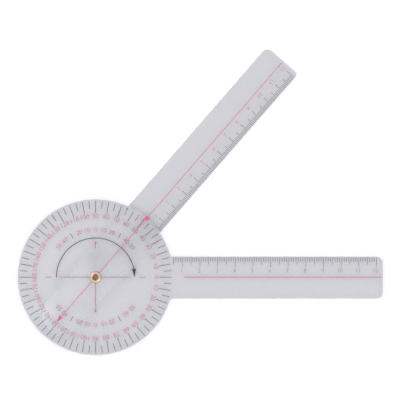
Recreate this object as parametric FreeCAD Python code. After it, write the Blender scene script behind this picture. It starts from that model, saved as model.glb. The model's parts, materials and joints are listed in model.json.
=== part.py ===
import FreeCAD, Part
import math
import os

# A clear plastic goniometer for measuring how far a body joint bends.
# A round 360 degree protractor carries a fixed arm, and a second arm turns over it on a brass rivet.
#
# Frame: the origin lies on the pivot axis, in the plane of the rivet's flat head, which is the lowest
# face. +Z points up to the printed faces and +X runs along the fixed arm. Sizes are in millimetres.

# Plates
PLATE_THICKNESS = 1.6
PLATE_EDGE_ROUND = 0.4
MOST_EDGE_ROUND_OF_THICKNESS = 0.45
DISC_RADIUS = 44.1
FIXED_ARM_RULER_SIDE = 11.6
FIXED_ARM_PLAIN_SIDE = 12.1
FIXED_ARM_REACH = 162.8
FIXED_ARM_CORNER_RADIUS = 3.5
UPPER_JUNCTION_RADIUS = 1.25
LOWER_JUNCTION_RADIUS = 2.75
MOVING_ARM_PLAIN_SIDE = 12.3
MOVING_ARM_RULER_SIDE = 11.0
MOVING_ARM_REACH = 162.0
MOVING_ARM_TAIL_REACH = 40.0
MOVING_ARM_PLAIN_CORNER_RADIUS = 3.8
MOVING_ARM_RULER_CORNER_RADIUS = 2.0
REST_ANGLE = 49.0

# Pivot: a semi-tubular rivet, its hollow end rolled over the moving arm
SHANK_RADIUS = 2.3
RIVET_HEAD_RADIUS = 3.6
RIVET_HEAD_THICKNESS = 0.8
RIVET_HEAD_ROUND = 0.35
TUBE_WALL = 0.55
TUBE_FLOOR_HEIGHT = 1.2
CUP_POINT_DEPTH = 0.6
ROLLED_RIM_OVERHANG = 0.7
ROLLED_RIM_HEIGHT = 0.6
ROLLED_RIM_FLAT_OF_HEIGHT = 1 / 3
WASHER_RADIUS = 3.2
WASHER_THICKNESS = 0.25
SHANK_CLEARANCE = 0.05
AXIAL_PLAY = 0.02

# Printed ink: raised films on the upper face of each plate
INK_THICKNESS = 0.03
INK_PIVOT_CLEARANCE = 0.2
DEGREE_STEP = 5
SCALE_RIM_MARGIN = 1.0
LONG_DEGREE_TICK = 6.75
SHORT_DEGREE_TICK = 4.25
DEGREE_TICK_WIDTH = 0.3
INNER_SCALE_RADIUS = 25.5
INNER_TICK_LENGTH = 3.25
INNER_TICK_AZIMUTHS = (60, 120, 240, 300)
ZERO_DASH_RADIUS = 25.0
ZERO_DASH_LENGTH = 3.5
ZERO_DASH_WIDTH = 0.36
CROSS_LINE_REACH = 20.4
CROSS_LINE_WIDTH = 0.33
CROSS_STUB_LENGTH = 4.0
CROSS_ARROW_LENGTH = 1.8
CROSS_ARROW_WIDTH = 1.4
SWEEP_RADIUS = 22.2
SWEEP_WIDTH = 0.44
SWEEP_ARROW_LENGTH = 4.7
SWEEP_ARROW_WIDTH = 2.3
RULER_ZERO_INSET = 5.0
RULER_START = 5
RULER_END_MARGIN = 2.5
RULER_EDGE_MARGIN = 0.3
MILLIMETRE_TICK = 2.5
HALF_CENTIMETRE_TICK = 4.2
CENTIMETRE_TICK = 5.6
FIXED_RULER_TICK_WIDTH = 0.18
MOVING_RULER_TICK_WIDTH = 0.22
FIXED_HAIRLINE_WIDTH = 0.4
FIXED_HAIRLINE_GAP = 6.15
FIXED_HAIRLINE_END_MARGIN = 0.9
MOVING_HAIRLINE_WIDTH = 0.38
MOVING_HAIRLINE_END_MARGIN = 1.3
TAIL_ARROW_TIP_RADIUS = 33.6
TAIL_ARROW_LENGTH = 4.2
TAIL_ARROW_WIDTH = 2.7
MARKER_DOT_RADIUS = 1.4
MARKER_DOT_RIM_GAP = 0.25

# Heights of the stack, from the rivet's head up
BODY_BOTTOM = RIVET_HEAD_THICKNESS
BODY_TOP = BODY_BOTTOM + PLATE_THICKNESS
WASHER_TOP = BODY_TOP + WASHER_THICKNESS
ARM_BOTTOM = WASHER_TOP + AXIAL_PLAY
ARM_TOP = ARM_BOTTOM + PLATE_THICKNESS
RIM_BOTTOM = ARM_TOP + AXIAL_PLAY

# Values that follow from the sizes above
PLATE_HOLE_RADIUS = SHANK_RADIUS + SHANK_CLEARANCE
ROLLED_RIM_RADIUS = SHANK_RADIUS + ROLLED_RIM_OVERHANG
SCALE_RADIUS = DISC_RADIUS - SCALE_RIM_MARGIN
RULER_ZERO = DISC_RADIUS - RULER_ZERO_INSET
MARKER_DOT_REACH = DISC_RADIUS + MARKER_DOT_RIM_GAP
FIXED_HAIRLINE_START = DISC_RADIUS + FIXED_HAIRLINE_GAP
BODY_INK_START = WASHER_RADIUS + INK_PIVOT_CLEARANCE
ARM_INK_START = ROLLED_RIM_RADIUS + INK_PIVOT_CLEARANCE
UP = FreeCAD.Vector(0, 0, 1)
ORIGIN = FreeCAD.Vector(0, 0, 0)
SAME_HEIGHT = 1e-6


def point(x, y, z=0.0):
    return FreeCAD.Vector(x, y, z)


def polar(radius, degrees, z=0.0):
    angle = math.radians(degrees)
    return point(radius * math.cos(angle), radius * math.sin(angle), z)


def line(start, end):
    return Part.LineSegment(start, end).toShape()


def arc(centre, radius, start_degrees, end_degrees):
    """The arc about centre that runs from one azimuth to the other, in the direction of the second."""
    angles = (start_degrees, (start_degrees + end_degrees) / 2, end_degrees)
    points = [centre + polar(radius, a) for a in angles]
    return Part.Arc(*points).toShape()


def prism(edges, bottom, height):
    """The solid over a closed flat outline."""
    face = Part.Face(Part.Wire(Part.__sortEdges__(edges)))
    solid = face.extrude(point(0, 0, height))
    solid.translate(point(0, 0, bottom))
    return solid


def soften_outline(plate):
    """Rounds the plate's upper and lower outline, which is all of its flat edges."""
    box = plate.BoundBox
    radius = min(PLATE_EDGE_ROUND, MOST_EDGE_ROUND_OF_THICKNESS * PLATE_THICKNESS)
    flat = [e for e in plate.Edges if e.BoundBox.ZLength < SAME_HEIGHT]
    rims = [e for e in flat if min(abs(e.BoundBox.ZMin - z) for z in (box.ZMin, box.ZMax)) < SAME_HEIGHT]
    return plate.makeFillet(radius, rims)


def bore_pivot_hole(plate):
    box = plate.BoundBox
    drill = Part.makeCylinder(PLATE_HOLE_RADIUS, box.ZLength, point(0, 0, box.ZMin), UP)
    return plate.cut(drill)


def junction(side, edge_y, radius):
    """The fillet between the disc and one edge of the fixed arm: its arc, and its two ends' places."""
    centre_y = edge_y + radius
    centre_x = math.sqrt((DISC_RADIUS + radius) ** 2 - centre_y ** 2)
    azimuth = math.degrees(math.atan2(centre_y, centre_x))
    centre = point(centre_x, side * centre_y)
    blend = arc(centre, radius, side * (180 + azimuth), side * 270)
    return blend, side * azimuth, point(centre_x, side * edge_y)


def protractor_body():
    """The disc and the fixed arm, one plate."""
    ruler, plain = FIXED_ARM_RULER_SIDE, -FIXED_ARM_PLAIN_SIDE
    corner = FIXED_ARM_CORNER_RADIUS
    straight_end = FIXED_ARM_REACH - corner
    upper, upper_azimuth, upper_foot = junction(1, FIXED_ARM_RULER_SIDE, UPPER_JUNCTION_RADIUS)
    lower, lower_azimuth, lower_foot = junction(-1, FIXED_ARM_PLAIN_SIDE, LOWER_JUNCTION_RADIUS)
    outline = [
        arc(ORIGIN, DISC_RADIUS, upper_azimuth, 360 + lower_azimuth),
        lower,
        line(lower_foot, point(straight_end, plain)),
        arc(point(straight_end, plain + corner), corner, -90, 0),
        line(point(FIXED_ARM_REACH, plain + corner), point(FIXED_ARM_REACH, ruler - corner)),
        arc(point(straight_end, ruler - corner), corner, 0, 90),
        line(point(straight_end, ruler), upper_foot),
        upper,
    ]
    plate = soften_outline(prism(outline, BODY_BOTTOM, PLATE_THICKNESS))
    return bore_pivot_hole(plate)


def moving_arm():
    """The arm that turns, with its round tail, drawn along +X."""
    plain, ruler = MOVING_ARM_PLAIN_SIDE, -MOVING_ARM_RULER_SIDE
    plain_corner, ruler_corner = MOVING_ARM_PLAIN_CORNER_RADIUS, MOVING_ARM_RULER_CORNER_RADIUS
    middle = (plain + ruler) / 2
    tail_radius = (plain - ruler) / 2
    tail_x = tail_radius - MOVING_ARM_TAIL_REACH
    plain_end = MOVING_ARM_REACH - plain_corner
    ruler_end = MOVING_ARM_REACH - ruler_corner
    outline = [
        arc(point(tail_x, middle), tail_radius, 90, 270),
        line(point(tail_x, ruler), point(ruler_end, ruler)),
        arc(point(ruler_end, ruler + ruler_corner), ruler_corner, -90, 0),
        line(point(MOVING_ARM_REACH, ruler + ruler_corner), point(MOVING_ARM_REACH, plain - plain_corner)),
        arc(point(plain_end, plain - plain_corner), plain_corner, 0, 90),
        line(point(plain_end, plain), point(tail_x, plain)),
    ]
    plate = soften_outline(prism(outline, ARM_BOTTOM, PLATE_THICKNESS))
    return bore_pivot_hole(plate)


def rounded_corner(start, corner, end):
    """The quarter ellipse between two points that lie square to each other across their corner."""
    slope = math.sqrt(0.5)
    middle = start + end - corner + (corner - start + corner - end) * slope
    return Part.Arc(start, middle, end).toShape()


def rivet():
    """The head, the shank and the rolled rim, turned about the pivot axis."""
    bore_radius = SHANK_RADIUS - TUBE_WALL
    crest_radius = (bore_radius + ROLLED_RIM_RADIUS) / 2
    rim_top = RIM_BOTTOM + ROLLED_RIM_HEIGHT
    rim_start = RIM_BOTTOM + ROLLED_RIM_HEIGHT * ROLLED_RIM_FLAT_OF_HEIGHT
    head_flat_end = point(RIVET_HEAD_RADIUS - RIVET_HEAD_ROUND, 0)
    head_side_start = point(RIVET_HEAD_RADIUS, 0, RIVET_HEAD_ROUND)
    rim_side_end = point(ROLLED_RIM_RADIUS, 0, rim_start)
    crest = point(crest_radius, 0, rim_top)
    bore_start = point(bore_radius, 0, rim_start)
    bore_foot = point(bore_radius, 0, TUBE_FLOOR_HEIGHT)
    cup_point = point(0, 0, TUBE_FLOOR_HEIGHT - CUP_POINT_DEPTH)
    profile = [
        line(ORIGIN, head_flat_end),
        rounded_corner(head_flat_end, point(RIVET_HEAD_RADIUS, 0), head_side_start),
        line(head_side_start, point(RIVET_HEAD_RADIUS, 0, BODY_BOTTOM)),
        line(point(RIVET_HEAD_RADIUS, 0, BODY_BOTTOM), point(SHANK_RADIUS, 0, BODY_BOTTOM)),
        line(point(SHANK_RADIUS, 0, BODY_BOTTOM), point(SHANK_RADIUS, 0, RIM_BOTTOM)),
        line(point(SHANK_RADIUS, 0, RIM_BOTTOM), point(ROLLED_RIM_RADIUS, 0, RIM_BOTTOM)),
        line(point(ROLLED_RIM_RADIUS, 0, RIM_BOTTOM), rim_side_end),
        rounded_corner(rim_side_end, point(ROLLED_RIM_RADIUS, 0, rim_top), crest),
        rounded_corner(crest, point(bore_radius, 0, rim_top), bore_start),
        line(bore_start, bore_foot),
        line(bore_foot, cup_point),
        line(cup_point, ORIGIN),
    ]
    return Part.Face(Part.Wire(profile)).revolve(ORIGIN, UP, 360)


def friction_washer():
    disc = Part.makeCylinder(WASHER_RADIUS, WASHER_THICKNESS, point(0, 0, BODY_TOP), UP)
    hole = Part.makeCylinder(PLATE_HOLE_RADIUS, WASHER_THICKNESS, point(0, 0, BODY_TOP), UP)
    return disc.cut(hole)


def ink_bar(start_x, end_x, centre_y, width, base):
    """A straight printed line along X."""
    length = end_x - start_x
    return Part.makeBox(length, width, INK_THICKNESS, point(start_x, centre_y - width / 2, base))


def ink_arrowhead(base_middle, tip, width, base):
    """A printed triangle from its base's middle to its tip."""
    along = (tip - base_middle).normalize()
    across = UP.cross(along) * (width / 2)
    left, right = base_middle + across, base_middle - across
    return prism([line(left, right), line(right, tip), line(tip, left)], base, INK_THICKNESS)


def turned(shape, degrees):
    copy = shape.copy()
    copy.rotate(ORIGIN, UP, degrees)
    return copy


def degree_ticks(is_long):
    """Radial ticks all round the rim: the long ones every second step, the short ones between them."""
    length = LONG_DEGREE_TICK if is_long else SHORT_DEGREE_TICK
    first = 0 if is_long else DEGREE_STEP
    tick = ink_bar(SCALE_RADIUS - length, SCALE_RADIUS, 0, DEGREE_TICK_WIDTH, BODY_TOP)
    ticks = [turned(tick, azimuth) for azimuth in range(first, 360, 2 * DEGREE_STEP)]
    return Part.makeCompound(ticks)


def inner_scale_ticks():
    end = INNER_SCALE_RADIUS + INNER_TICK_LENGTH
    tick = ink_bar(INNER_SCALE_RADIUS, end, 0, DEGREE_TICK_WIDTH, BODY_TOP)
    return Part.makeCompound([turned(tick, azimuth) for azimuth in INNER_TICK_AZIMUTHS])


def zero_dashes():
    end = ZERO_DASH_RADIUS + ZERO_DASH_LENGTH
    dash = ink_bar(ZERO_DASH_RADIUS, end, 0, ZERO_DASH_WIDTH, BODY_TOP)
    return Part.makeCompound([dash, turned(dash, 180)])


def horizontal_line():
    """The zero line through the pivot, left open under the washer."""
    half = ink_bar(BODY_INK_START, CROSS_LINE_REACH, 0, CROSS_LINE_WIDTH, BODY_TOP)
    return Part.makeCompound([half, turned(half, 180)])


def cross_arrow(start_radius):
    """A line with an arrowhead at the cross line's reach, drawn along +X."""
    head_start = CROSS_LINE_REACH - CROSS_ARROW_LENGTH
    stem = ink_bar(start_radius, head_start, 0, CROSS_LINE_WIDTH, BODY_TOP)
    head = ink_arrowhead(point(head_start, 0), point(CROSS_LINE_REACH, 0), CROSS_ARROW_WIDTH, BODY_TOP)
    return stem.fuse(head).removeSplitter()


def vertical_arrows():
    """The right-angle line: its whole lower half, and a short stub at the top."""
    upper = turned(cross_arrow(CROSS_LINE_REACH - CROSS_STUB_LENGTH), 90)
    lower = turned(cross_arrow(BODY_INK_START), 270)
    return Part.makeCompound([upper, lower])


def sweep_arrow():
    """The half circle that shows which way the arm is read, with its arrowhead at zero."""
    inner, outer = SWEEP_RADIUS - SWEEP_WIDTH / 2, SWEEP_RADIUS + SWEEP_WIDTH / 2
    head_azimuth = math.degrees(math.asin(SWEEP_ARROW_LENGTH / SWEEP_RADIUS))
    band = [
        arc(ORIGIN, outer, head_azimuth, 180),
        line(polar(outer, 180), polar(inner, 180)),
        arc(ORIGIN, inner, 180, head_azimuth),
        line(polar(inner, head_azimuth), polar(outer, head_azimuth)),
    ]
    tail = prism(band, BODY_TOP, INK_THICKNESS)
    head_base, tip = polar(SWEEP_RADIUS, head_azimuth), polar(SWEEP_RADIUS, 0)
    head = ink_arrowhead(head_base, tip, SWEEP_ARROW_WIDTH, BODY_TOP)
    return tail.fuse(head).removeSplitter()


def ruler_millimetres(reach):
    """The millimetres that have a tick: a ruler ends on its last whole centimetre."""
    centimetres = int((reach - RULER_END_MARGIN - RULER_ZERO) // 10)
    return range(RULER_START, 10 * centimetres + 1)


def ruler_ticks(reach, edge_y, width, base):
    """The three lengths of tick on one edge of an arm, as groups of separate bars."""
    side = math.copysign(1, edge_y)
    outer_y = edge_y - side * RULER_EDGE_MARGIN
    groups = {"mm": [], "half_cm": [], "cm": []}
    for millimetre in ruler_millimetres(reach):
        size = "cm" if millimetre % 10 == 0 else "half_cm" if millimetre % 5 == 0 else "mm"
        length = {"mm": MILLIMETRE_TICK, "half_cm": HALF_CENTIMETRE_TICK, "cm": CENTIMETRE_TICK}[size]
        start_x = RULER_ZERO + millimetre - width / 2
        low_y = min(outer_y, outer_y - side * length)
        tick = Part.makeBox(width, length, INK_THICKNESS, point(start_x, low_y, base))
        groups[size].append(tick)
    return {size: Part.makeCompound(ticks) for size, ticks in groups.items()}


def fixed_arm_hairline():
    end = FIXED_ARM_REACH - FIXED_HAIRLINE_END_MARGIN
    return ink_bar(FIXED_HAIRLINE_START, end, 0, FIXED_HAIRLINE_WIDTH, BODY_TOP)


def moving_arm_hairline():
    """The pointer line along the arm, interrupted by the rivet and the marker dot, with its tail arrow."""
    end = MOVING_ARM_REACH - MOVING_HAIRLINE_END_MARGIN
    head_start = TAIL_ARROW_TIP_RADIUS - TAIL_ARROW_LENGTH
    width = MOVING_HAIRLINE_WIDTH
    inner = ink_bar(ARM_INK_START, MARKER_DOT_REACH - MARKER_DOT_RADIUS, 0, width, ARM_TOP)
    outer = ink_bar(MARKER_DOT_REACH + MARKER_DOT_RADIUS, end, 0, width, ARM_TOP)
    tail = ink_bar(-head_start, -ARM_INK_START, 0, width, ARM_TOP)
    head = ink_arrowhead(
        point(-head_start, 0), point(-TAIL_ARROW_TIP_RADIUS, 0), TAIL_ARROW_WIDTH, ARM_TOP
    )
    return Part.makeCompound([inner, outer, tail.fuse(head).removeSplitter()])


def marker_dot():
    return Part.makeCylinder(MARKER_DOT_RADIUS, INK_THICKNESS, point(MARKER_DOT_REACH, 0, ARM_TOP), UP)


def body_nodes():
    """Everything that stays with the fixed arm."""
    ticks = ruler_ticks(FIXED_ARM_REACH, FIXED_ARM_RULER_SIDE, FIXED_RULER_TICK_WIDTH, BODY_TOP)
    return {
        "protractor_body": protractor_body(),
        "pivot_rivet": rivet(),
        "friction_washer": friction_washer(),
        "degree_ticks_long": degree_ticks(True),
        "degree_ticks_short": degree_ticks(False),
        "inner_scale_ticks": inner_scale_ticks(),
        "zero_dashes": zero_dashes(),
        "horizontal_line": horizontal_line(),
        "vertical_arrows": vertical_arrows(),
        "sweep_arrow": sweep_arrow(),
        "fixed_arm_hairline": fixed_arm_hairline(),
        "fixed_arm_mm_ticks": ticks["mm"],
        "fixed_arm_half_cm_ticks": ticks["half_cm"],
        "fixed_arm_cm_ticks": ticks["cm"],
    }


def moving_nodes():
    """Everything that turns with the moving arm, drawn along +X and then turned to the rest angle."""
    ticks = ruler_ticks(MOVING_ARM_REACH, -MOVING_ARM_RULER_SIDE, MOVING_RULER_TICK_WIDTH, ARM_TOP)
    nodes = {
        "moving_arm": moving_arm(),
        "moving_arm_hairline": moving_arm_hairline(),
        "marker_dot": marker_dot(),
        "moving_arm_mm_ticks": ticks["mm"],
        "moving_arm_half_cm_ticks": ticks["half_cm"],
        "moving_arm_cm_ticks": ticks["cm"],
    }
    return {name: turned(shape, REST_ANGLE) for name, shape in nodes.items()}


def main():
    os.makedirs("parts", exist_ok=True)
    for name, shape in {**body_nodes(), **moving_nodes()}.items():
        shape.exportStep(f"parts/{name}.step")
        print(f"{name}: {len(shape.Solids)} solid(s), {shape.Volume:.3f} mm3, valid {shape.isValid()}")


main()
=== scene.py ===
import json
import logging
import math
from dataclasses import dataclass
from enum import Enum
from typing import Callable, Optional, Union

import bmesh
import bpy
from bpy.types import Material, Node, NodeSocket, NodeTree, Object
from mathutils import Matrix, Vector


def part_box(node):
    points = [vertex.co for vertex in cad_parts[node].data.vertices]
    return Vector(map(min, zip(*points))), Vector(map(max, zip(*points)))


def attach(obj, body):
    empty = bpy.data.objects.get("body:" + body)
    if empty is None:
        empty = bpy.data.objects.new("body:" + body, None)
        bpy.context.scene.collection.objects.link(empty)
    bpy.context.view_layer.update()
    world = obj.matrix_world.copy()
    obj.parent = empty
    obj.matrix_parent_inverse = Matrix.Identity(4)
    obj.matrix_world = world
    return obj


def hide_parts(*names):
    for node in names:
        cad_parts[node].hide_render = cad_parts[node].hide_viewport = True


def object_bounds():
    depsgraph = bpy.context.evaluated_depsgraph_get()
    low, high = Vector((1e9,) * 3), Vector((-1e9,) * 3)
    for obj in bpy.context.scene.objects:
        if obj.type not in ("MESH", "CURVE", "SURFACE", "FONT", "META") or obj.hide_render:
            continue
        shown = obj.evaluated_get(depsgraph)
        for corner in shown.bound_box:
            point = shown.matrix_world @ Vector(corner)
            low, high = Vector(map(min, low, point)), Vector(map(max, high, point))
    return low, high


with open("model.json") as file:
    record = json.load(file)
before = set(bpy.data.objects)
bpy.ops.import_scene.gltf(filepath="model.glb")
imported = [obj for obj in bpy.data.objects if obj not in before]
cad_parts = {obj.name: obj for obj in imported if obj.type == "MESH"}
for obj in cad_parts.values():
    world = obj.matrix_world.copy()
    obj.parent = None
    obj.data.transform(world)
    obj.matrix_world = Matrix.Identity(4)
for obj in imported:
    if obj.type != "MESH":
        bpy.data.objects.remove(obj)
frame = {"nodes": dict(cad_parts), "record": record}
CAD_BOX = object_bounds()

# A clear plastic goniometer lying on white paper: two printed plates on a brass pivot rivet.
# Everything is in metres. Sizes are given in millimetres times MM, and heights come from the frame.

LOG = logging.getLogger("goniometer")
MM = 0.001
MERGE_DISTANCE = 0.0005 * MM

Value = Union[float, tuple, NodeSocket]
Inputs = dict[Union[str, int], Value]


class Slot(Enum):
    """The record's material slots."""

    PLASTIC = "clear_plastic"
    BRASS = "rivet_brass"
    NYLON = "washer_nylon"
    BLACK = "black_ink"
    RED = "red_ink"


class Body(Enum):
    """The two bodies that the pivot joins."""

    PROTRACTOR = "protractor"
    ARM = "arm"


class Pick(Enum):
    """What a selection in edit mode is made of: its select mode and its list in the edit mesh."""

    VERTICES = ("VERT", "verts")
    EDGES = ("EDGE", "edges")


# Reading the frame


def top_of(node: str) -> float:
    """Returns the height of a CAD node's highest point."""
    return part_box(node)[1].z


def rest_angle() -> float:
    """Returns the moving arm's azimuth at rest, from where its marker dot lies."""
    low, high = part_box("marker_dot")
    return math.atan2(low.y + high.y, low.x + high.x)


# The bench: one mesh shaped by modelling operators


def deselect_all() -> None:
    """Leaves edit mode and clears the selection."""
    if bpy.context.object and bpy.context.object.mode != "OBJECT":
        bpy.ops.object.mode_set(mode="OBJECT")
    bpy.ops.object.select_all(action="DESELECT")


def activate(piece: Object) -> None:
    """Selects one object alone and makes it the active one.

    Args:
        piece: The object.
    """
    deselect_all()
    piece.select_set(True)
    bpy.context.view_layer.objects.active = piece


class Workpiece:
    """One mesh object with its origin at the frame's origin, shaped step by step."""

    def __init__(self, name: str) -> None:
        """Takes the primitive that was just added.

        Args:
            name: What the piece is called.
        """
        self.piece = bpy.context.object
        self.piece.name = name
        self.piece.data.name = name

    @classmethod
    def ring(cls, name: str, radius: float, centre: tuple, vertices: int) -> "Workpiece":
        """Starts from an open circle, left in edit mode.

        Args:
            name: What the piece is called.
            radius: The circle's radius.
            centre: Its centre.
            vertices: How many vertices it has.

        Returns:
            The new workpiece.
        """
        deselect_all()
        bpy.ops.mesh.primitive_circle_add(vertices=vertices, radius=radius, fill_type="NOTHING")
        made = cls(name)
        bpy.ops.object.mode_set(mode="EDIT")
        bpy.ops.mesh.select_all(action="SELECT")
        bpy.ops.transform.translate(value=centre)
        return made

    def pick(self, kind: Pick, test: Callable) -> None:
        """Selects exactly the elements that pass a test.

        Args:
            kind: Vertices or edges.
            test: A function of one element of the edit mesh.
        """
        mode, group = kind.value
        bpy.ops.mesh.select_mode(type=mode)
        bpy.ops.mesh.select_all(action="DESELECT")
        sheet = bmesh.from_edit_mesh(self.piece.data)
        for element in getattr(sheet, group):
            if test(element):
                element.select_set(True)
        bmesh.update_edit_mesh(self.piece.data)

    def pick_end(self, place: Vector) -> None:
        """Selects the loose chain end nearest to a place, and moves it there exactly.

        Args:
            place: Where the end belongs.
        """
        sheet = bmesh.from_edit_mesh(self.piece.data)
        ends = [vertex for vertex in sheet.verts if len(vertex.link_edges) == 1]
        nearest = min(ends, key=lambda vertex: (vertex.co - place).length)
        shift = place - nearest.co
        index = nearest.index
        self.pick(Pick.VERTICES, lambda vertex: vertex.index == index)
        bpy.ops.transform.translate(value=shift)

    def draw_line(self, shift: tuple) -> None:
        """Extrudes what is selected along a straight line."""
        bpy.ops.mesh.extrude_region_move(TRANSFORM_OT_translate={"value": shift})

    def draw_arc(self, centre: Vector, angle: float, steps: int) -> None:
        """Spins the selected chain end about a centre, anticlockwise from above, to draw an arc."""
        bpy.ops.mesh.spin(steps=steps, angle=angle, center=centre, axis=(0, 0, -1))

    def raise_ring(self, height: float) -> float:
        """Extrudes the selected ring straight up or down.

        Args:
            height: The new ring's height.

        Returns:
            The ring's radius.
        """
        sheet = bmesh.from_edit_mesh(self.piece.data)
        first = next(vertex.co.copy() for vertex in sheet.verts if vertex.select)
        self.draw_line((0, 0, height - first.z))
        return first.xy.length

    def grow_ring(self, radius: float, height: float) -> None:
        """Extrudes the selected ring to a new radius and height, as one step of a turned profile."""
        scale = radius / self.raise_ring(height)
        bpy.ops.transform.resize(value=(scale, scale, 1), center_override=(0, 0, height))

    def close_pole(self, height: float) -> None:
        """Draws the selected ring together into one point on the axis, at a height."""
        self.raise_ring(height)
        bpy.ops.mesh.merge(type="CENTER")

    def apply(self, kind: str, **settings: Union[float, int, bool, str, Object]) -> None:
        """Adds one modifier and applies it.

        Args:
            kind: The modifier's type.
            **settings: Its properties.
        """
        activate(self.piece)
        modifier = self.piece.modifiers.new(kind.title(), kind)
        for key, value in settings.items():
            setattr(modifier, key, value)
        bpy.ops.object.modifier_apply(modifier=modifier.name)

    def cut(self, tool: "Workpiece") -> None:
        """Cuts another workpiece's closed shape out of this one, and removes that workpiece."""
        self.apply("BOOLEAN", operation="DIFFERENCE", solver="EXACT", object=tool.piece)
        bpy.data.objects.remove(tool.piece)

    def face_outwards(self) -> None:
        """Merges doubled vertices and turns every normal outwards."""
        activate(self.piece)
        bpy.ops.object.mode_set(mode="EDIT")
        bpy.ops.mesh.select_all(action="SELECT")
        bpy.ops.mesh.remove_doubles(threshold=MERGE_DISTANCE)
        bpy.ops.mesh.normals_make_consistent(inside=False)
        bpy.ops.object.mode_set(mode="OBJECT")

    def turn(self, azimuth: float) -> None:
        """Turns the finished mesh about the pivot axis.

        Args:
            azimuth: How far, in radians, anticlockwise from above.
        """
        activate(self.piece)
        self.piece.rotation_euler = (0, 0, azimuth)
        bpy.ops.object.transform_apply()

    def smooth(self, degrees: float) -> None:
        """Shades smooth up to an angle between faces."""
        activate(self.piece)
        bpy.ops.object.shade_smooth_by_angle(angle=math.radians(degrees))

    def hand_over(self, body: Body, slot: Slot, material: Material, *nodes: str) -> None:
        """Dresses the piece and says what it belongs to.

        Args:
            body: The body that it moves with.
            slot: The record's material slot; not used.
            material: Its finish.
            *nodes: The CAD nodes that it stands for.
        """
        deselect_all()
        self.piece.data.materials.clear()
        self.piece.data.materials.append(material)
        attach(self.piece, body.value)
        if nodes:
            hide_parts(*nodes)
        LOG.info("%s: %d faces", self.piece.name, len(self.piece.data.polygons))


# Finishes


class Wiring:
    """Adds nodes to one node tree and joins their sockets."""

    def __init__(self, tree: NodeTree) -> None:
        """Holds the tree to work in."""
        self.tree = tree

    def feed(self, node: Node, inputs: Inputs) -> None:
        """Sets or links a node's inputs.

        Args:
            node: The node.
            inputs: A value or another node's output for each input, by its name or number.
        """
        for key, value in inputs.items():
            if isinstance(value, NodeSocket):
                self.tree.links.new(value, node.inputs[key])
            else:
                node.inputs[key].default_value = value

    def add(self, kind: str, inputs: Optional[Inputs] = None, **settings: object) -> Node:
        """Adds one node.

        Args:
            kind: The node's type name.
            inputs: What its inputs are fed.
            **settings: The node's own properties.

        Returns:
            The new node.
        """
        node = self.tree.nodes.new(kind)
        for key, value in settings.items():
            setattr(node, key, value)
        self.feed(node, inputs or {})
        return node

    def math(self, operation: str, *terms: Value, clamp: bool = False) -> NodeSocket:
        """Works out one number from others."""
        inputs = dict(enumerate(terms))
        return self.add("ShaderNodeMath", inputs, operation=operation, use_clamp=clamp).outputs[0]

    def ramp(
        self, value: Value, low: float, high: float, at_low: float = 0.0, at_high: float = 1.0
    ) -> NodeSocket:
        """Maps a number smoothly from low and high to at_low and at_high, and keeps it between them."""
        inputs = {"Value": value, "From Min": low, "From Max": high, "To Min": at_low, "To Max": at_high}
        return self.add("ShaderNodeMapRange", inputs, interpolation_type="SMOOTHSTEP").outputs["Result"]

    def mix(self, share: Value, first: Value, second: Value) -> NodeSocket:
        """Mixes two colours: the first where the share is 0, the second where it is 1."""
        node = self.add("ShaderNodeMix", {0: share, 6: first, 7: second}, data_type="RGBA")
        return node.outputs[2]

    def group(self, tree: NodeTree, inputs: Inputs) -> Node:
        """Places a shader node group."""
        return self.add("ShaderNodeGroup", inputs, node_tree=tree)

    def noise(self, place: Value, scale: Value, detail: float, roughness: float = 0.5) -> NodeSocket:
        """Lays a cloudy pattern over the surface, its scale in clouds to a metre."""
        inputs = {"Vector": place, "Scale": scale, "Detail": detail, "Roughness": roughness}
        return self.add("ShaderNodeTexNoise", inputs).outputs["Fac"]

    def stretch(self, place: Value, scale: tuple, azimuth: float = 0.0) -> NodeSocket:
        """Turns and stretches the surface point, to draw a pattern out into lines."""
        inputs = {"Vector": place, "Rotation": (0, 0, azimuth), "Scale": scale}
        return self.add("ShaderNodeMapping", inputs).outputs["Vector"]


def new_group(name: str, inputs: dict[str, str], outputs: dict[str, str]) -> tuple:
    """Starts a shader node group.

    Args:
        name: The effect's name.
        inputs: Each input's socket type.
        outputs: Each output's socket type.

    Returns:
        The group's tree, its wiring, its inputs and its output node.
    """
    tree = bpy.data.node_groups.new(name, "ShaderNodeTree")
    for direction, sockets in (("INPUT", inputs), ("OUTPUT", outputs)):
        for key, kind in sockets.items():
            tree.interface.new_socket(key, in_out=direction, socket_type=kind)
    wiring = Wiring(tree)
    return tree, wiring, wiring.add("NodeGroupInput").outputs, wiring.add("NodeGroupOutput")


FLOAT = "NodeSocketFloat"
VECTOR = "NodeSocketVector"
COLOR = "NodeSocketColor"


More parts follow.
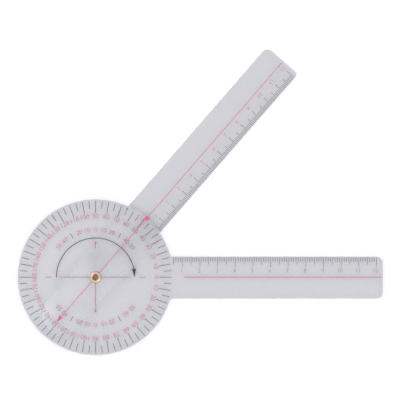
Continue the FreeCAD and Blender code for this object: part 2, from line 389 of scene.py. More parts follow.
@dataclass(frozen=True)
class Effects:
    """The shader node groups that several finishes share, each built once."""

    scratches: NodeTree
    specks: NodeTree
    clouding: NodeTree

    @classmethod
    def build(cls) -> "Effects":
        """Builds every group."""
        return cls(cls.make_scratches(), cls.make_specks(), cls.make_clouding())

    @staticmethod
    def make_scratches() -> NodeTree:
        """Builds fine crossing hairlines from handling, in uneven patches.

        Returns:
            A group with a Mask, 1 in a scratch and 0 beside it.
        """
        inputs = {"Place": VECTOR, "Scale": FLOAT, "Width": FLOAT}
        tree, wiring, given, out = new_group("handling_scratches", inputs, {"Mask": FLOAT})
        patches = wiring.noise(given["Place"], 45.0, 1.0)
        total = None
        for azimuth, stretch in ((0.35, 30.0), (1.15, 22.0), (2.3, 38.0)):
            laid = wiring.stretch(given["Place"], (1, stretch, 1), azimuth)
            noise = wiring.noise(laid, given["Scale"], 1.0)
            off_line = wiring.math("ABSOLUTE", wiring.math("SUBTRACT", noise, 0.5))
            share = wiring.math("DIVIDE", off_line, given["Width"])
            line = wiring.math("SUBTRACT", 1.0, share, clamp=True)
            total = line if total is None else wiring.math("MAXIMUM", total, line)
        kept = wiring.math("MULTIPLY", total, wiring.ramp(patches, 0.45, 0.7))
        wiring.feed(out, {"Mask": kept})
        return tree

    @staticmethod
    def make_specks() -> NodeTree:
        """Builds scattered round specks of different sizes.

        Returns:
            A group with a Mask, 1 in a speck's middle and 0 outside.
        """
        inputs = {"Place": VECTOR, "Scale": FLOAT, "Share": FLOAT, "Size": FLOAT}
        tree, wiring, given, out = new_group("specks", inputs, {"Mask": FLOAT})
        cells = wiring.add("ShaderNodeTexVoronoi", {"Vector": given["Place"], "Scale": given["Scale"]})
        draw = wiring.add("ShaderNodeSeparateColor", {"Color": cells.outputs["Color"]})
        chosen = wiring.math("LESS_THAN", draw.outputs[0], given["Share"])
        size = wiring.math("MULTIPLY", draw.outputs[1], given["Size"])
        outwards = wiring.math("DIVIDE", cells.outputs["Distance"], size)
        depth = wiring.math("SUBTRACT", 1.0, outwards, clamp=True)
        wiring.feed(out, {"Mask": wiring.math("MULTIPLY", depth, chosen)})
        return tree

    @staticmethod
    def make_clouding() -> NodeTree:
        """Builds a soft uneven tone between two colours.

        Returns:
            A group with the mixed Color and the plain Cloud value.
        """
        inputs = {"Place": VECTOR, "Scale": FLOAT, "First": COLOR, "Second": COLOR}
        tree, wiring, given, out = new_group("clouding", inputs, {"Color": COLOR, "Cloud": FLOAT})
        noise = wiring.noise(given["Place"], given["Scale"], 4.0, 0.55)
        cloud = wiring.ramp(noise, 0.3, 0.7)
        color = wiring.mix(cloud, given["First"], given["Second"])
        wiring.feed(out, {"Color": color, "Cloud": cloud})
        return tree


class Finish(Wiring):
    """A material in the making: its main shader, the surface point and an uneven tone."""

    def __init__(self, name: str, effects: Effects, clouds: float, first: tuple, second: tuple) -> None:
        """Starts the material.

        Args:
            name: What it is called.
            effects: The shared effects.
            clouds: How many clouds of tone there are to a metre.
            first: One colour of the tone.
            second: The other.
        """
        self.material = bpy.data.materials.new(name)
        self.material.use_nodes = True
        super().__init__(self.material.node_tree)
        self.shader = self.tree.nodes["Principled BSDF"]
        self.place = self.add("ShaderNodeTexCoord").outputs["Object"]
        inputs = {"Place": self.place, "Scale": clouds, "First": first, "Second": second}
        self.tone = self.group(effects.clouding, inputs)

    def finish(self, color: Value, rough: Value, height: Value, strength: float, relief: float) -> Material:
        """Joins the pattern to the main shader.

        Args:
            color: The surface's colour.
            rough: Its roughness.
            height: Its fine relief, from 0 to 1.
            strength: How much of the relief shows.
            relief: The real height of 1, in metres.

        Returns:
            The finished material.
        """
        bump = self.add("ShaderNodeBump", {"Height": height, "Strength": strength, "Distance": relief})
        normal = bump.outputs["Normal"]
        self.feed(self.shader, {"Base Color": color, "Roughness": rough, "Normal": normal})
        return self.material


@dataclass(frozen=True)
class ClearSheet:
    """Clear rigid sheet, polished on its faces and slightly frosted where it was cut, its cut edges
    darkened by painted shade.
    """

    effects: Effects
    tint: tuple = (0.983, 0.984, 0.99, 1)
    tint_in_clouds: tuple = (0.99, 0.983, 0.992, 1)
    tint_at_edges: tuple = (0.62, 0.61, 0.66, 1)
    clouds: float = 30.0
    refraction: float = 1.49
    face_roughness: float = 0.015
    cut_roughness: float = 0.16
    scratch_roughness: float = 0.25
    scratch_depth: float = 0.3
    cut_slopes: tuple = (0.35, 0.1)
    edge_slopes: tuple = (0.97, 0.4)
    cut_mark_spacing: float = 0.35 * MM
    cut_mark_stretch: tuple = (1, 1, 0.05)
    relief: float = 0.01 * MM

    def make(self) -> Material:
        """Builds the material.

        Returns:
            The finished material.
        """
        work = Finish("clear_sheet", self.effects, self.clouds, self.tint, self.tint_in_clouds)
        inputs = {"Place": work.place, "Scale": 55.0, "Width": 0.004}
        scratches = work.group(self.effects.scratches, inputs).outputs["Mask"]
        inputs = {"Place": work.place, "Scale": 260.0, "Share": 0.12, "Size": 0.1}
        dust = work.group(self.effects.specks, inputs).outputs["Mask"]
        facing = work.add("ShaderNodeNewGeometry").outputs["Normal"]
        upright = work.math("ABSOLUTE", work.add("ShaderNodeSeparateXYZ", {0: facing}).outputs["Z"])
        on_cut = work.ramp(upright, *self.cut_slopes)
        painted_shade_on_edge = work.ramp(upright, *self.edge_slopes)
        # Painted shade: the base colour darkens on the cut edges and their rounding, standing in for the
        # dark rim lines of clear plastic.
        color = work.mix(painted_shade_on_edge, work.tone.outputs["Color"], self.tint_at_edges)
        drawn_out = work.stretch(work.place, self.cut_mark_stretch)
        marks = work.noise(drawn_out, 1 / self.cut_mark_spacing, 2.0)
        marked = work.math("MAXIMUM", scratches, dust)
        rough = work.math("MULTIPLY_ADD", marked, self.scratch_roughness, self.face_roughness)
        rough = work.math("MULTIPLY_ADD", on_cut, self.cut_roughness, rough)
        grooves = work.math("MULTIPLY", scratches, self.scratch_depth)
        height = work.math("SUBTRACT", work.math("MULTIPLY", marks, on_cut), grooves)
        work.feed(work.shader, {"Metallic": 0.0, "Transmission Weight": 1.0, "IOR": self.refraction})
        return work.finish(color, rough, height, 0.25, self.relief)


@dataclass(frozen=True)
class PrintedInk:
    """Screen-printed ink: a matt film with an uneven body and a few pinholes."""

    effects: Effects
    name: str
    full: tuple
    thin: tuple
    pinhole: tuple
    clouds: float = 700.0
    mesh_marks: float = 9000.0
    mesh_depth: float = 0.5
    roughness: float = 0.42
    thin_roughness: float = 0.14
    relief: float = 0.004 * MM

    def make(self) -> Material:
        """Builds the material.

        Returns:
            The finished material.
        """
        work = Finish(self.name, self.effects, self.clouds, self.full, self.thin)
        inputs = {"Place": work.place, "Scale": 5200.0, "Share": 0.1, "Size": 0.32}
        holes = work.group(self.effects.specks, inputs).outputs["Mask"]
        screen = work.noise(work.place, self.mesh_marks, 2.0)
        color = work.mix(holes, work.tone.outputs["Color"], self.pinhole)
        rough = work.math("MULTIPLY_ADD", work.tone.outputs["Cloud"], self.thin_roughness, self.roughness)
        height = work.math("SUBTRACT", work.math("MULTIPLY", screen, self.mesh_depth), holes)
        return work.finish(color, rough, height, 0.5, self.relief)


@dataclass(frozen=True)
class RivetBrass:
    """Formed brass: bright and burnished on the rolled rim, dark and tarnished down in the cup."""

    effects: Effects
    bore_radius: float
    rim_height: float
    bright: tuple = (0.95, 0.78, 0.62, 1)
    warm: tuple = (0.86, 0.67, 0.48, 1)
    tarnish: tuple = (0.33, 0.18, 0.09, 1)
    clouds: float = 900.0
    blotches: float = 1500.0
    blotch_ramp: tuple = (0.4, 0.52, 0.55, 1.0)
    cup_edge: tuple = (1.04, 0.92)
    lip_depth: float = 0.35 * MM
    turning_mark_spacing: float = 0.07 * MM
    turning_mark_depth: float = 0.15
    roughness: float = 0.24
    tarnish_roughness: float = 0.3
    scratch_roughness: float = 0.2
    relief: float = 0.01 * MM

    def make(self) -> Material:
        """Builds the material.

        Returns:
            The finished material.
        """
        work = Finish("rivet_brass_finish", self.effects, self.clouds, self.bright, self.warm)
        parts = work.add("ShaderNodeSeparateXYZ", {0: work.place}).outputs
        square = work.math("MULTIPLY", parts["X"], parts["X"])
        square = work.math("MULTIPLY_ADD", parts["Y"], parts["Y"], square)
        radius = work.math("SQRT", square)
        inside = work.ramp(radius, *(share * self.bore_radius for share in self.cup_edge))
        below = work.ramp(parts["Z"], self.rim_height, self.rim_height - self.lip_depth)
        in_cup = work.math("MULTIPLY", inside, below)
        blotches = work.noise(work.place, self.blotches, 3.0)
        tarnished = work.math("MULTIPLY", in_cup, work.ramp(blotches, *self.blotch_ramp))
        turns = work.math("MULTIPLY", radius, 2 * math.pi / self.turning_mark_spacing)
        inputs = {"Place": work.place, "Scale": 900.0, "Width": 0.02}
        scratches = work.group(self.effects.scratches, inputs).outputs["Mask"]
        color = work.mix(tarnished, work.tone.outputs["Color"], self.tarnish)
        rough = work.math("MULTIPLY_ADD", tarnished, self.tarnish_roughness, self.roughness)
        rough = work.math("MULTIPLY_ADD", scratches, self.scratch_roughness, rough)
        height = work.math("MULTIPLY_ADD", work.math("SINE", turns), self.turning_mark_depth, blotches)
        work.feed(work.shader, {"Metallic": 1.0})
        return work.finish(color, rough, height, 0.35, self.relief)


@dataclass(frozen=True)
class WasherNylon:
    """Milky natural nylon, punched from sheet."""

    effects: Effects
    light: tuple = (0.86, 0.86, 0.84, 1)
    deep: tuple = (0.78, 0.78, 0.75, 1)
    clouds: float = 600.0
    roughness: float = 0.4
    deep_roughness: float = 0.15
    light_reach: float = 0.5 * MM
    relief: float = 0.01 * MM

    def make(self) -> Material:
        """Builds the material.

        Returns:
            The finished material.
        """
        work = Finish("washer_nylon_finish", self.effects, self.clouds, self.light, self.deep)
        inputs = {"Place": work.place, "Scale": 3000.0, "Share": 0.2, "Size": 0.2}
        grit = work.group(self.effects.specks, inputs).outputs["Mask"]
        rough = work.math("MULTIPLY_ADD", work.tone.outputs["Cloud"], self.deep_roughness, self.roughness)
        work.feed(work.shader, {"Subsurface Weight": 0.2, "Subsurface Radius": (1, 1, 1)})
        work.feed(work.shader, {"Subsurface Scale": self.light_reach})
        return work.finish(work.tone.outputs["Color"], rough, grit, 0.4, self.relief)


@dataclass(frozen=True)
class TablePaper:
    """Plain white paper under the tool."""

    effects: Effects
    light: tuple = (0.905, 0.905, 0.905, 1)
    deep: tuple = (0.89, 0.89, 0.89, 1)
    clouds: float = 900.0

    def make(self) -> Material:
        """Builds the material.

        Returns:
            The finished material.
        """
        work = Finish("table_paper", self.effects, self.clouds, self.light, self.deep)
        work.feed(work.shader, {"Base Color": work.tone.outputs["Color"], "Roughness": 0.9})
        work.feed(work.shader, {"Specular IOR Level": 0.1})
        return work.material


# The two clear plates


@dataclass(frozen=True)
class PlateSide:
    """One long edge of a plate's straight part.

    Args:
        offset: The edge's distance from the centre line.
        corner: The radius at the free end.
        junction: The radius of the blend into the round part, or 0 where the edge is tangent to it.
    """

    offset: float
    corner: float
    junction: float = 0.0


@dataclass
class ClearPlate:
    """A flat plate with a round part and a straight arm, drawn along +X and turned into place.

    Args:
        name: What the piece is called.
        node: The CAD node that it stands for.
        body: The body that it moves with.
        round_x: The round part's centre, along the centre line.
        round_radius: The round part's radius.
        reach: How far the arm goes from the pivot.
        left: The edge on the +Y side, before turning.
        right: The edge on the -Y side, before turning.
        azimuth: How far the plate is turned, in radians.
    """

    name: str
    node: str
    body: Body
    round_x: float
    round_radius: float
    reach: float
    left: PlateSide
    right: PlateSide
    azimuth: float = 0.0
    hole_radius: float = 2.35 * MM
    edge_round: float = 0.4 * MM
    hole_break: float = 0.12 * MM
    rim_vertices: int = 288
    arc_steps: int = 14
    round_steps: int = 6
    drill_vertices: int = 96
    drill_overshoot: float = 0.5 * MM
    smooth_below: float = 40.0

    @property
    def round_y(self) -> float:
        """The round part's centre across, which lies between the edges that are tangent to it."""
        return 0.0 if self.left.junction else (self.left.offset - self.right.offset) / 2

    def junction_end(self, side: PlateSide, sign: int) -> tuple[Vector, Optional[Vector], float]:
        """Finds where the round part ends on one side.

        Args:
            side: The edge on that side.
            sign: 1 for the +Y side and -1 for the other.

        Returns:
            The rim's last point, the blend's centre if there is one, and the blend's angle.
        """
        if side.junction == 0:
            return Vector((self.round_x, sign * side.offset, 0)), None, 0.0
        centre_y = side.offset + side.junction
        centre_x = math.sqrt((self.round_radius + side.junction) ** 2 - centre_y ** 2)
        centre = Vector((centre_x, sign * centre_y, 0))
        rim_end = centre * (self.round_radius / (self.round_radius + side.junction))
        turn = math.pi / 2 - math.atan2(centre_y, centre_x)
        return rim_end, centre, turn

    def draw_side(self, work: Workpiece, side: PlateSide, sign: int, height: float) -> None:
        """Draws one edge from the rim to the middle of the free end.

        Args:
            work: The outline so far.
            side: The edge on that side.
            sign: 1 for the +Y side and -1 for the other.
            height: The height of the outline.
        """
        lift = Vector((0, 0, height))
        start, centre, turn = self.junction_end(side, sign)
        work.pick_end(start + lift)
        if centre is not None:
            work.draw_arc(centre + lift, sign * turn, self.arc_steps)
            start = centre
        straight_end = self.reach - side.corner
        work.draw_line((straight_end - start.x, 0, 0))
        corner_centre = Vector((straight_end, sign * (side.offset - side.corner), height))
        work.draw_arc(corner_centre, -sign * math.pi / 2, self.arc_steps)

    def outline(self, height: float) -> Workpiece:
        """Draws the plate's outline as one flat face.

        Args:
            height: The height of the face.

        Returns:
            The workpiece, in edit mode.
        """
        centre = (self.round_x, self.round_y, height)
        work = Workpiece.ring(self.name, self.round_radius, centre, self.rim_vertices)
        left_end = self.junction_end(self.left, 1)[0]
        right_end = self.junction_end(self.right, -1)[0]
        step = 2 * math.pi * self.round_radius / self.rim_vertices

        def in_mouth(vertex: bmesh.types.BMVert) -> bool:
            """Says whether a rim vertex lies where the arm leaves the round part."""
            between = right_end.y - step / 2 < vertex.co.y < left_end.y + step / 2
            return between and vertex.co.x > self.round_x + step / 2 + MERGE_DISTANCE

        work.pick(Pick.VERTICES, in_mouth)
        bpy.ops.mesh.delete(type="VERT")
        self.draw_side(work, self.left, 1, height)
        self.draw_side(work, self.right, -1, height)
        far = self.reach - MERGE_DISTANCE
        work.pick(Pick.VERTICES, lambda vertex: vertex.co.x > far and len(vertex.link_edges) == 1)
        bpy.ops.mesh.edge_face_add()
        bpy.ops.mesh.select_all(action="SELECT")
        bpy.ops.mesh.remove_doubles(threshold=MERGE_DISTANCE)
        bpy.ops.mesh.edge_face_add()
        return work

    def drill(self, low: float, high: float) -> Workpiece:
        """Makes the tool that cuts the pivot hole and breaks its two edges.

        Args:
            low: The plate's lower face.
            high: The plate's upper face.

        Returns:
            A closed turned shape that stands proud of both faces.
        """
        wide = self.hole_radius + self.hole_break
        proud = self.drill_overshoot
        work = Workpiece.ring("drill", wide + proud, (0, 0, low - proud), self.drill_vertices)
        work.grow_ring(wide, low)
        work.grow_ring(self.hole_radius, low + self.hole_break)
        work.grow_ring(self.hole_radius, high - self.hole_break)
        work.grow_ring(wide, high)
        work.grow_ring(wide + proud, high + proud)
        work.close_pole(high + proud)
        low_end = low - proud + MERGE_DISTANCE
        work.pick(Pick.VERTICES, lambda vertex: vertex.co.z < low_end)
        work.close_pole(low - proud)
        work.face_outwards()
        return work

    def build(self, material: Material) -> None:
        """Models the plate, dresses it and hands it over.

        Args:
            material: Its finish.
        """
        low, high = (corner.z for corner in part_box(self.node))
        work = self.outline(low)
        work.draw_line((0, 0, high - low))
        work.pick(Pick.EDGES, lambda edge: abs(edge.verts[0].co.z - edge.verts[1].co.z) < MERGE_DISTANCE)
        bpy.ops.mesh.bevel(offset=self.edge_round, segments=self.round_steps, profile=0.5)
        work.face_outwards()
        work.cut(self.drill(low, high))
        work.face_outwards()
        work.turn(self.azimuth)
        work.smooth(self.smooth_below)
        work.apply("WEIGHTED_NORMAL", weight=100, keep_sharp=True)
        work.hand_over(self.body, Slot.PLASTIC, material, self.node)


# The pivot rivet


@dataclass
class PivotRivet:
    """A semi-tubular brass rivet, its hollow end rolled out over the moving arm."""

    shank_radius: float = 2.3 * MM
    head_radius: float = 3.6 * MM
    head_round: float = 0.35 * MM
    bore_radius: float = 1.75 * MM
    rim_radius: float = 3.0 * MM
    rim_gap: float = 0.02 * MM
    cup_floor: float = 1.2 * MM
    cup_point: float = 0.6 * MM
    rim_under: float = 0.12 * MM
    edge_break: float = 0.08 * MM
    ring_vertices: int = 96
    round_steps: int = 8
    smooth_below: float = 35.0

    def quarter(self, start: tuple, corner: tuple, end: tuple) -> list[tuple[float, float]]:
        """Works out the rings of a quarter ellipse, as radius and height.

        Args:
            start: Where it starts.
            corner: Where its first and its last direction meet.
            end: Where it ends.

        Returns:
            Its rings, without the first.
        """
        rings = []
        for step in range(1, self.round_steps + 1):
            angle = step / self.round_steps * math.pi / 2
            rise, turn = math.sin(angle), 1 - math.cos(angle)
            rings.append(tuple(a + (b - a) * rise + (c - b) * turn for a, b, c in zip(start, corner, end)))
        return rings

    def profile(self) -> list[tuple[float, float]]:
        """Works out the turned profile, from the head's flat to the cup's floor.

        Returns:
            The radius and height of each ring.
        """
        head_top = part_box("protractor_body")[0].z
        rim_low = top_of("moving_arm") + self.rim_gap
        rim_high = top_of("pivot_rivet")
        head_edge = self.head_radius - self.head_round
        crest = (self.bore_radius + self.rim_radius) / 2
        rim_side = rim_low + self.rim_under
        return [
            *self.quarter((head_edge, 0), (self.head_radius, 0), (self.head_radius, self.head_round)),
            (self.head_radius, head_top - self.edge_break),
            (self.head_radius - self.edge_break, head_top),
            (self.shank_radius, head_top),
            (self.shank_radius, rim_low),
            (self.rim_radius - self.rim_under, rim_low),
            *self.quarter(
                (self.rim_radius - self.rim_under, rim_low),
                (self.rim_radius, rim_low),
                (self.rim_radius, rim_side),
            ),
            *self.quarter((self.rim_radius, rim_side), (self.rim_radius, rim_high), (crest, rim_high)),
            *self.quarter((crest, rim_high), (self.bore_radius, rim_high), (self.bore_radius, rim_side)),
            (self.bore_radius, self.cup_floor),
        ]

    def build(self, material: Material) -> None:
        """Models the rivet, dresses it and hands it over.

        Args:
            material: Its finish.
        """
        head_edge = self.head_radius - self.head_round
        work = Workpiece.ring("turned_rivet", head_edge, (0, 0, 0), self.ring_vertices)
        for radius, height in self.profile():
            work.grow_ring(radius, height)
        work.grow_ring(self.bore_radius / 2, (self.cup_floor + self.cup_point) / 2)
        work.close_pole(self.cup_point)
        work.pick(Pick.VERTICES, lambda vertex: vertex.co.z < MERGE_DISTANCE)
        work.grow_ring(head_edge / 2, 0)
        work.close_pole(0)
        work.face_outwards()
        work.smooth(self.smooth_below)
        work.hand_over(Body.PROTRACTOR, Slot.BRASS, material, "pivot_rivet")


# Printed numerals


@dataclass(frozen=True)
class Numeral:
    """One printed number.

    Args:
        text: Its figures.
        place: Its middle, on the plate.
        turn: How far it is turned from upright, in radians.
    """

    text: str
    place: Vector
    turn: float


@dataclass
class NumeralFilm:
    """A set of numbers printed on one plate, as one raised ink film.

    Args:
        name: What the piece is called.
        body: The body that it moves with.
        plate: The CAD node of the plate that it is printed on.
        ticks: The CAD node of ticks that it is as thick as.
        cap_height: How tall the figures are.
        numerals: The numbers and their places.
        boldness: How far the strokes are widened on each side, or thinned where it is below 0.
    """

    name: str
    body: Body
    plate: str
    ticks: str
    cap_height: float
    numerals: list[Numeral]
    boldness: float = -0.012

    def cut_figure(self, text: str) -> Object:
        """Makes one number as a flat mesh about the origin.

        Args:
            text: The figures.

        Returns:
            A mesh object, its middle at the origin and its figures at the film's cap height.
        """
        deselect_all()
        bpy.ops.object.text_add()
        figure = bpy.context.object
        figure.data.body = text
        figure.data.align_x = "CENTER"
        figure.data.resolution_u = 3
        figure.data.offset = self.boldness
        figure.data.extrude = 0.5
        bpy.ops.object.convert(target="MESH")
        figure = bpy.context.object
        low = Vector(figure.bound_box[0])
        high = Vector(figure.bound_box[6])
        middle = (low + high) / 2
        scale = self.cap_height / (high.y - low.y)
        sized = Matrix.Diagonal((scale, scale, self.thickness, 1)) @ Matrix.Translation(-middle)
        figure.data.transform(sized)
        return figure

    @property
    def thickness(self) -> float:
        """The film's thickness."""
        return top_of(self.ticks) - top_of(self.plate)

    def build(self, material: Material) -> None:
        """Makes each number once, copies it to its places, and joins them into one film.

        Args:
            material: The ink.
        """
        patterns = {text: self.cut_figure(text) for text in sorted({n.text for n in self.numerals})}
        copies = []
        lift = top_of(self.plate) + self.thickness / 2
        for numeral in self.numerals:
            pattern = patterns[numeral.text]
            copy = pattern.copy()
            copy.data = pattern.data.copy()
            bpy.context.scene.collection.objects.link(copy)
            copy.location = (*numeral.place.xy, lift)
            copy.rotation_euler = (0, 0, numeral.turn)
            copies.append(copy)
        for pattern in patterns.values():
            bpy.data.objects.remove(pattern)
        activate(copies[0])
        for copy in copies:
            copy.select_set(True)
        bpy.ops.object.transform_apply()
        bpy.ops.object.join()
        work = Workpiece(self.name)
        work.face_outwards()
        work.hand_over(self.body, Slot.RED, material)


@dataclass
class DegreeNumerals:
    """The numbers on the protractor's two scales."""

    outer_inset: float = 8.4 * MM
    outer_height: float = 2.5 * MM
    inner_radius: float = 27.0 * MM
    inner_height: float = 2.4 * MM
    inner_labels: tuple = (0, 10, 20, 40, 50)

    def ring_numeral(self, label: int, radius: float, degrees: float) -> Numeral:
        """Places a number on a circle, its top outwards.

        Args:
            label: The number.
            radius: The circle's radius.
            degrees: The number's azimuth.

        Returns:
            The placed number.
        """
        azimuth = math.radians(degrees)
        place = Vector((radius * math.cos(azimuth), radius * math.sin(azimuth)))
        return Numeral(str(label), place, azimuth - math.pi / 2)

    def outer(self) -> list[Numeral]:
        """Lists 0 to 180 over the upper half and again over the lower."""
        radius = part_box("degree_ticks_long")[1].x - self.outer_inset
        return [self.ring_numeral(min(turn, 360 - turn), radius, turn) for turn in range(0, 360, 10)]

    def inner(self) -> list[Numeral]:
        """Lists the bend from straight, each way from the top and from the bottom.

        Returns:
            The inner scale's numbers.
        """
        numerals = []
        for middle in (90, 270):
            for label in self.inner_labels:
                for side in (1, -1) if label else (1,):
                    numerals.append(self.ring_numeral(label, self.inner_radius, middle + side * label))
        return numerals

    def build(self, material: Material) -> None:
        """Prints both scales.

        Args:
            material: The ink.
        """
        scales = (
            ("degree_numerals_outer", self.outer_height, self.outer()),
            ("degree_numerals_inner", self.inner_height, self.inner()),
        )
        plate, ticks = "protractor_body", "degree_ticks_long"
        for name, height, numerals in scales:
            NumeralFilm(name, Body.PROTRACTOR, plate, ticks, height, numerals).build(material)


@dataclass
class RulerNumerals:
    """The centimetre numbers along one arm.

    Args:
        arm: The arm's name, which its CAD node of centimetre ticks starts with.
        body: The body that they move with.
        plate: The plate's CAD node.
        azimuth: The arm's direction, in radians.
        across: The numbers' distance from the centre line, towards +Y before turning.
        along: How far they stand from their tick, away from the pivot.
    """

    arm: str
    body: Body
    plate: str
    azimuth: float
    across: float
    along: float
    height: float = 2.2 * MM
    spacing: float = 10 * MM

    def build(self, material: Material) -> None:
        """Prints one number beside each centimetre tick.

        Args:
            material: The ink.
        """
        ticks = f"{self.arm}_cm_ticks"
        turn = Matrix.Rotation(self.azimuth, 3, "Z")
        outwards = turn @ Vector((1, 0, 0))
        reaches = [vertex.co.dot(outwards) for vertex in frame["nodes"][ticks].data.vertices]
        count = round((max(reaches) - min(reaches)) / self.spacing) + 1
        first_reach = (min(reaches) + max(reaches) - (count - 1) * self.spacing) / 2
        numerals = []
        for index in range(count):
            reach = first_reach + index * self.spacing + self.along
            place = turn @ Vector((reach, self.across, 0))
            numerals.append(Numeral(str(index + 1), place, self.azimuth))
        name = f"{self.arm}_numerals"
        NumeralFilm(name, self.body, self.plate, ticks, self.height, numerals).build(material)


# The studio


@dataclass(frozen=True)
class Panel:
    """One flat light, aimed at the tool.

    Args:
        name: What it is called.
        width: Its size across.
        length: Its size along.
        place: Where it hangs, from the middle of the tool.
        radiance: How bright its face is.
        color: Its colour.
        mirrored: Whether it is there for polished surfaces to show, and not to light the tool.
    """

    name: str
    width: float
    length: float
    place: tuple
    radiance: float
    color: tuple = (1, 1, 1)
    mirrored: bool = True

    def hang(self, middle: Vector) -> None:
        """Hangs the panel.

        Args:
            middle: The middle of the tool.
        """
        lamp = bpy.data.lights.new(self.name, "AREA")
        lamp.shape = "RECTANGLE"
        lamp.size, lamp.size_y = self.width, self.length
        lamp.energy = self.radiance * math.pi * self.width * self.length
        lamp.color = self.color
        panel = bpy.data.objects.new(self.name, lamp)
        away = Vector(self.place)
        panel.location = middle + away
        panel.rotation_mode = "QUATERNION"
        panel.rotation_quaternion = away.to_track_quat("Z", "Y")
        panel.visible_glossy = self.mirrored
        panel.visible_diffuse = not self.mirrored
        panel.visible_transmission = False
        panel.visible_camera = False
        bpy.context.scene.collection.objects.link(panel)


@dataclass(frozen=True)
class CeilingSpot:
    """A soft spot on the surround overhead, which the polished faces show.

    Args:
        place: Where on the tool the straight-down view shows it, in millimetres.
        radius: How far it reaches there, in millimetres.
        gain: Its brightness against the surround's.
    """

    place: tuple
    radius: float
    gain: float


@dataclass
class Studio:
    """White paper, a pale surround that darkens to its horizon, soft lights, and the camera."""

    zenith: tuple = (0.765, 0.77, 0.812, 1)
    horizon: tuple = (0.4, 0.405, 0.42, 1)
    horizon_ends: float = 0.55
    least_upward: float = 0.01
    panels: tuple = (
        Panel("overhead_softbox", 0.3, 0.3, (0, 0, 1.6), 41.5, mirrored=False),
        Panel("left_softbox", 0.7, 0.9, (-0.75, 0.66, 0.95), 1.3, (1, 0.95, 0.93)),
        Panel("right_softbox", 0.7, 0.9, (0.75, -0.66, 0.95), 1.3, (1, 0.95, 0.93)),
    )
    spots: tuple = (
        CeilingSpot((1.0, 12.0), 12.0, 0.15),
        CeilingSpot((-35.0, -5.0), 75.0, 1.45),
        CeilingSpot((31.0, 26.0), 14.0, 0.5),
        CeilingSpot((17.0, 15.0), 15.0, 0.55),
        CeilingSpot((-30.0, -21.0), 13.0, 1.7),
        CeilingSpot((-21.0, -3.0), 7.0, 0.6),
        CeilingSpot((-5.5, -16.0), 6.5, 0.6),
    )
    view_width: float = 226.6 * MM
    lens: float = 180.0
    sensor: float = 36.0
    view_offset: tuple = (-0.2 * MM, 1.4 * MM)
    paper_size: float = 8.0
    paper_drop: float = 0.02 * MM

    def lay_paper(self, material: Material) -> None:
        """Lays the paper just under the rivet's head.

        Args:
            material: Its finish.
        """
        deselect_all()
        bpy.ops.mesh.primitive_plane_add(size=self.paper_size, location=(0, 0, -self.paper_drop))
        paper = Workpiece("table_paper")
        bpy.ops.object.transform_apply()
        paper.piece.data.materials.append(material)
        deselect_all()

    def light_up(self) -> None:
        """Sets the surround and hangs the panels."""
        world = bpy.data.worlds.new("studio_surround")
        world.use_nodes = True
        wiring = Wiring(world.node_tree)
        direction = wiring.add("ShaderNodeTexCoord").outputs["Object"]
        upward = wiring.add("ShaderNodeSeparateXYZ", {0: direction}).outputs["Z"]
        color = wiring.mix(wiring.ramp(upward, 0.0, self.horizon_ends), self.horizon, self.zenith)
        background = world.node_tree.nodes["Background"]
        wiring.feed(background, {"Color": color, "Strength": self.spot_gain(wiring, direction, upward)})
        bpy.context.scene.world = world
        low, high = CAD_BOX
        for panel in self.panels:
            panel.hang((low + high) / 2)

    def spot_gain(self, wiring: Wiring, direction: NodeSocket, upward: NodeSocket) -> NodeSocket:
        """Works out how bright the ceiling's spots leave the surround.

        Args:
            wiring: The surround's wiring.
            direction: The way out to the surround.
            upward: How far that way points up.

        Returns:
            The surround's strength that way.
        """
        foot = self.camera_foot()
        height = self.camera_height()
        stretch = wiring.math("DIVIDE", height, wiring.math("MAXIMUM", upward, self.least_upward))
        on_ceiling = wiring.add(
            "ShaderNodeVectorMath", {0: direction, "Scale": stretch}, operation="SCALE"
        ).outputs[0]
        gain = 1.0
        for spot in self.spots:
            x, y = spot.place
            aim = (x * MM - foot.x, y * MM - foot.y, height)
            distance = wiring.add(
                "ShaderNodeVectorMath", {0: on_ceiling, 1: aim}, operation="DISTANCE"
            ).outputs["Value"]
            here = wiring.ramp(distance, 0.0, spot.radius * MM, spot.gain, 1.0)
            gain = wiring.math("MULTIPLY", gain, here)
        return gain

    def camera_foot(self) -> Vector:
        """Returns the point of the table that the camera looks down on."""
        low, high = CAD_BOX
        return (low + high) / 2 + Vector((*self.view_offset, 0))

    def camera_height(self) -> float:
        """Returns how far above the disc the camera hangs."""
        return self.view_width * self.lens / self.sensor

    def set_camera(self) -> None:
        """Hangs the camera straight above the tool, its picture as wide as view_width on the disc."""
        data = bpy.data.cameras.new("overhead_camera")
        data.type = "PERSP"
        data.lens = self.lens
        data.sensor_width = self.sensor
        data.clip_start = 0.01
        data.clip_end = 20.0
        camera = bpy.data.objects.new("overhead_camera", data)
        camera.location = self.camera_foot()
        camera.location.z = top_of("protractor_body") + self.camera_height()
        bpy.context.scene.collection.objects.link(camera)
        bpy.context.scene.camera = camera

    def set_light_paths(self) -> None:
        """Lets light pass both clear plates and back, unblurred, and keeps fine print sharp."""
        scene = bpy.context.scene
        scene.view_settings.view_transform = "Standard"
        scene.cycles.blur_glossy = 0.0
        scene.cycles.max_bounces = 24
        scene.cycles.transmission_bounces = 24
        scene.cycles.glossy_bounces = 16
        scene.cycles.diffuse_bounces = 8
        scene.cycles.denoising_prefilter = "NONE"


# The whole tool


def dress_cad_nodes(finishes: dict[Slot, Material]) -> None:
    """Gives every CAD node the finish of its material slot.

    Args:
        finishes: The material for each slot.
    """
    for part in frame["record"]["subparts"]:
        node = frame["nodes"][part["node"]]
        material = finishes[Slot(part["material_slot"])]
        if not node.material_slots:
            node.data.materials.append(material)
        for place in node.material_slots:
            place.material = material
        LOG.info("%s: %s", part["node"], material.name)


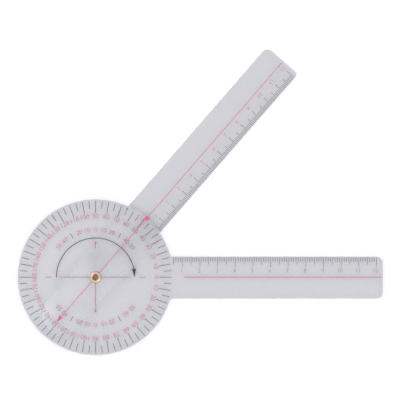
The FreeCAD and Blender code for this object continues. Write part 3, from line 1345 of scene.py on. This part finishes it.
def main() -> None:
    """Builds the goniometer around the frame and lights it."""
    logging.basicConfig(level=logging.INFO, format="%(name)s: %(message)s")
    effects = Effects.build()
    rivet = PivotRivet()
    finishes = {
        Slot.PLASTIC: ClearSheet(effects).make(),
        Slot.BRASS: RivetBrass(effects, rivet.bore_radius, top_of("pivot_rivet")).make(),
        Slot.NYLON: WasherNylon(effects).make(),
        Slot.BLACK: PrintedInk(
            effects, "black_print", (0.02, 0.021, 0.024, 1), (0.05, 0.052, 0.058, 1), (0.3, 0.3, 0.31, 1)
        ).make(),
        Slot.RED: PrintedInk(
            effects, "red_print", (0.58, 0.1, 0.2, 1), (0.64, 0.155, 0.26, 1), (0.76, 0.43, 0.51, 1)
        ).make(),
    }
    dress_cad_nodes(finishes)
    low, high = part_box("protractor_body")
    turned = rest_angle()
    protractor = ClearPlate(
        name="protractor_plate",
        node="protractor_body",
        body=Body.PROTRACTOR,
        round_x=0.0,
        round_radius=-low.x,
        reach=high.x,
        left=PlateSide(offset=11.6 * MM, corner=3.5 * MM, junction=1.25 * MM),
        right=PlateSide(offset=12.1 * MM, corner=3.5 * MM, junction=2.75 * MM),
    )
    arm_left = PlateSide(offset=12.3 * MM, corner=3.8 * MM)
    arm_right = PlateSide(offset=11.0 * MM, corner=2.0 * MM)
    tail_radius = (arm_left.offset + arm_right.offset) / 2
    tail_reach = 40.0 * MM
    arm = ClearPlate(
        name="moving_arm_plate",
        node="moving_arm",
        body=Body.ARM,
        round_x=tail_radius - tail_reach,
        round_radius=tail_radius,
        reach=162.0 * MM,
        left=arm_left,
        right=arm_right,
        azimuth=turned,
    )
    protractor.build(finishes[Slot.PLASTIC])
    arm.build(finishes[Slot.PLASTIC])
    rivet.build(finishes[Slot.BRASS])
    red = finishes[Slot.RED]
    DegreeNumerals().build(red)
    fixed = RulerNumerals("fixed_arm", Body.PROTRACTOR, "protractor_body", 0.0, 3.8 * MM, -0.4 * MM)
    fixed.build(red)
    moving = RulerNumerals("moving_arm", Body.ARM, "moving_arm", turned, -2.75 * MM, -0.35 * MM)
    moving.build(red)
    studio = Studio()
    studio.lay_paper(TablePaper(effects).make())
    studio.light_up()
    studio.set_camera()
    studio.set_light_paths()


if __name__ == "__main__":
    main()
